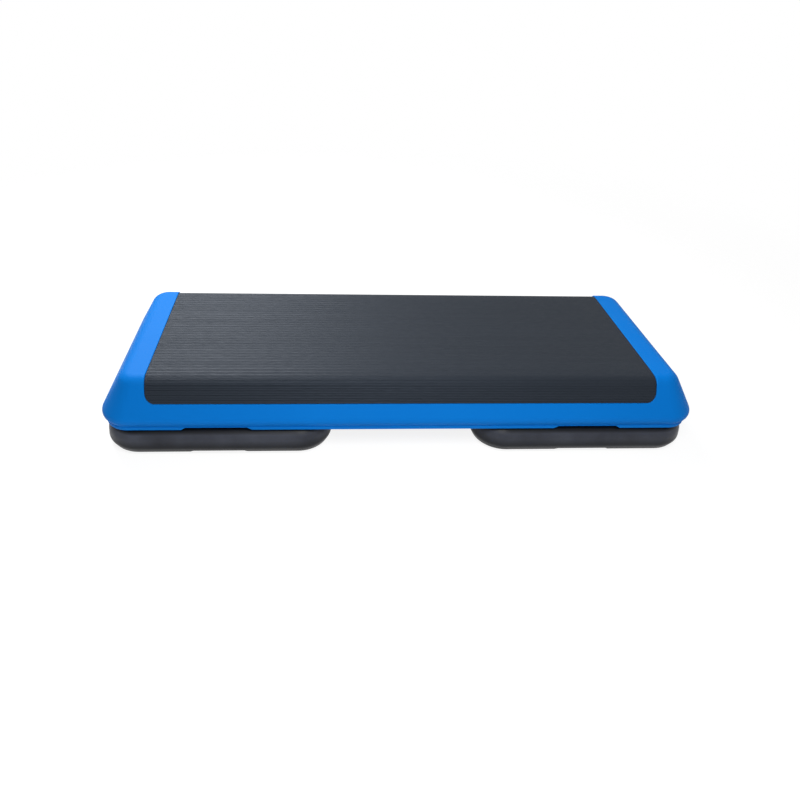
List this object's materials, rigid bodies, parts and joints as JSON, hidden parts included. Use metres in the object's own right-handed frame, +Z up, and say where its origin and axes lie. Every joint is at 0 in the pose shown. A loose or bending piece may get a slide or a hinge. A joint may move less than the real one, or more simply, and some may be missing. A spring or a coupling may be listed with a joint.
{
  "type": "aerobic step platform",
  "caption": "Low exercise step: a long moulded deck with sloped sides and a ribbed rubber tread, standing on square riser blocks that it lifts off.",
  "frame": {"origin": "on the floor under the centre of the step, with the deck standing on both risers", "axes": "+X along the deck to its right end, +Y to its back, +Z up"},
  "size_m": [1.091, 0.412, 0.146],
  "materials": {
    "blue_plastic": "moulded, satin with a fine grain",
    "charcoal_plastic": "moulded, matt with a fine grain",
    "tread_rubber": "matt, fine lengthwise ribs",
    "foot_rubber": "matt",
    "zinc_steel": "bright zinc plated"
  },
  "bodies": {
    "left_riser": {"left_riser": "charcoal_plastic", "left_riser_foot_outer_front": "foot_rubber", "left_riser_foot_outer_back": "foot_rubber", "left_riser_foot_inner_front": "foot_rubber", "left_riser_foot_inner_back": "foot_rubber", "left_riser_foot_washers": "zinc_steel", "left_riser_foot_screws": "zinc_steel"},
    "deck": {"deck_shell": "blue_plastic", "tread_mat": "tread_rubber", "deck_foot_left_outer_front": "foot_rubber", "deck_foot_left_outer_back": "foot_rubber", "deck_foot_left_inner_front": "foot_rubber", "deck_foot_left_inner_back": "foot_rubber", "deck_foot_right_outer_front": "foot_rubber", "deck_foot_right_outer_back": "foot_rubber", "deck_foot_right_inner_front": "foot_rubber", "deck_foot_right_inner_back": "foot_rubber", "deck_foot_washers": "zinc_steel", "deck_foot_screws": "zinc_steel"},
    "right_riser": {"right_riser": "charcoal_plastic", "right_riser_foot_outer_front": "foot_rubber", "right_riser_foot_outer_back": "foot_rubber", "right_riser_foot_inner_front": "foot_rubber", "right_riser_foot_inner_back": "foot_rubber", "right_riser_foot_washers": "zinc_steel", "right_riser_foot_screws": "zinc_steel"}
  },
  "joints": [
    {"name": "deck_lift", "type": "slide", "parent": "left_riser", "child": "deck", "axis": [0, 0, 1], "range_m": [0, 0.1]},
    {"name": "right_riser_drop", "type": "slide", "parent": "deck", "child": "right_riser", "axis": [0, 0, -1], "range_m": [0, 0.1]}
  ],
  "couplings": [
    {"joint": "right_riser_drop", "follows": "deck_lift", "ratio": 1}
  ]
}
